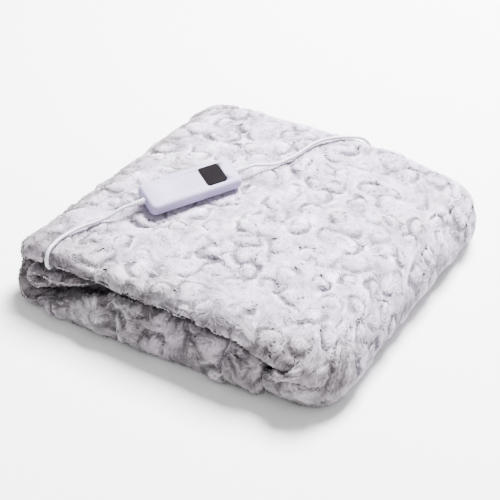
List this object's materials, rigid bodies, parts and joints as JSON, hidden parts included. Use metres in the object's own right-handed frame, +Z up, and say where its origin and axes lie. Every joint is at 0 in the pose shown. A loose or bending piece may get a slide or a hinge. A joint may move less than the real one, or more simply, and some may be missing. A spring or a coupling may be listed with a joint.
{
  "type": "folded electric heated blanket",
  "caption": "Plush heated blanket folded into a soft square stack, with a hand controller lying on top, its leads, and the mains lead coiled behind with its plug.",
  "frame": {"origin": "middle of the flat underside of the folded blanket, on the surface that it rests on", "axes": "+Z up; the front, with the open hems, faces -Y; the outer fold is at -X and the smooth right fold at +X"},
  "size_m": [0.4506, 0.5418, 0.1106],
  "materials": {
    "plush": "pale grey plush with a short embossed pile",
    "case": "satin white moulded plastic",
    "window": "glossy black window",
    "lead": "white flexible sheath",
    "tie": "soft black band",
    "pins": "plated metal"
  },
  "bodies": {
    "root": {"blanket": "plush", "controller_base": "case", "controller_top": "case", "display_window": "window", "relief_left": "lead", "relief_right": "lead", "control_lead": "lead", "mains_lead": "lead", "lead_coil": "lead", "coil_tie": "tie", "plug_lead": "lead", "plug_relief": "lead", "plug_body": "case", "plug_pin_left": "pins", "plug_pin_right": "pins"}
  },
  "joints": []
}
